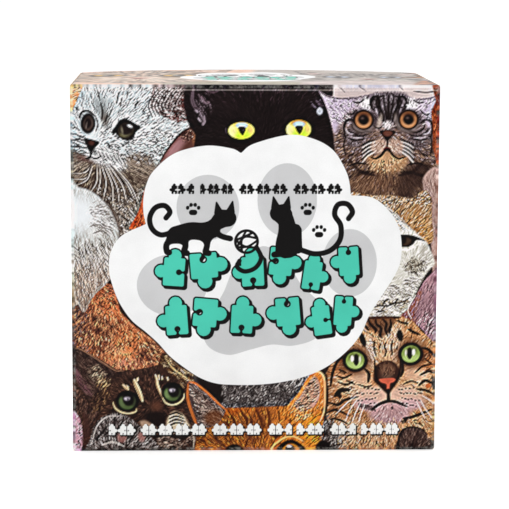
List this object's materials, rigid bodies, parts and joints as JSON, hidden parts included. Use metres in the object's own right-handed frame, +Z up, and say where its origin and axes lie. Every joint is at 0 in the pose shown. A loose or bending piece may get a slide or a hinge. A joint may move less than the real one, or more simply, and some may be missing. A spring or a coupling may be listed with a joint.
{
  "type": "boxed jigsaw puzzle",
  "caption": "Small, nearly square rigid lid-and-tray box standing on its edge, printed with cats and a paw badge, holding a bag of loose jigsaw pieces.",
  "frame": {"origin": "on the ground below the middle of the closed box, which stands on one edge of its lid", "axes": "+X to the right seen from the front, +Y from the lid's printed face to the tray's back, +Z up"},
  "size_m": [0.095, 0.054, 0.096],
  "materials": {
    "greyboard": "matte",
    "corner_tape": "matte",
    "lid_print": "satin",
    "tray_print": "satin",
    "clear_film": "gloss",
    "puzzle_board": "satin"
  },
  "bodies": {
    "tray": {"tray_back_board": "greyboard", "tray_top_board": "greyboard", "tray_right_board": "greyboard", "tray_bottom_board": "greyboard", "tray_left_board": "greyboard", "tray_corner_tapes": "corner_tape", "tray_wrap": "tray_print"},
    "lid": {"lid_face_board": "greyboard", "lid_top_board": "greyboard", "lid_right_board": "greyboard", "lid_bottom_board": "greyboard", "lid_left_board": "greyboard", "lid_corner_tapes": "corner_tape", "lid_wrap": "lid_print", "lid_wrap_foot_flap": "lid_print"},
    "bag_of_pieces": {"clear_bag": "clear_film", "puzzle_row_01": "puzzle_board", "puzzle_row_02": "puzzle_board", "puzzle_row_03": "puzzle_board", "puzzle_row_04": "puzzle_board", "puzzle_row_05": "puzzle_board", "puzzle_row_06": "puzzle_board", "puzzle_row_07": "puzzle_board", "puzzle_row_08": "puzzle_board", "puzzle_row_09": "puzzle_board", "puzzle_row_10": "puzzle_board"}
  },
  "joints": [
    {"name": "lid_slide", "type": "slide", "parent": "tray", "child": "lid", "axis": [0, -1, 0], "range_m": [0, 0.11]},
    {"name": "bag_slide", "type": "slide", "parent": "tray", "child": "bag_of_pieces", "axis": [0, -1, 0], "range_m": [0, 0.055]}
  ],
  "couplings": [
    {"joint": "bag_slide", "follows": "lid_slide", "ratio": 0.5}
  ]
}
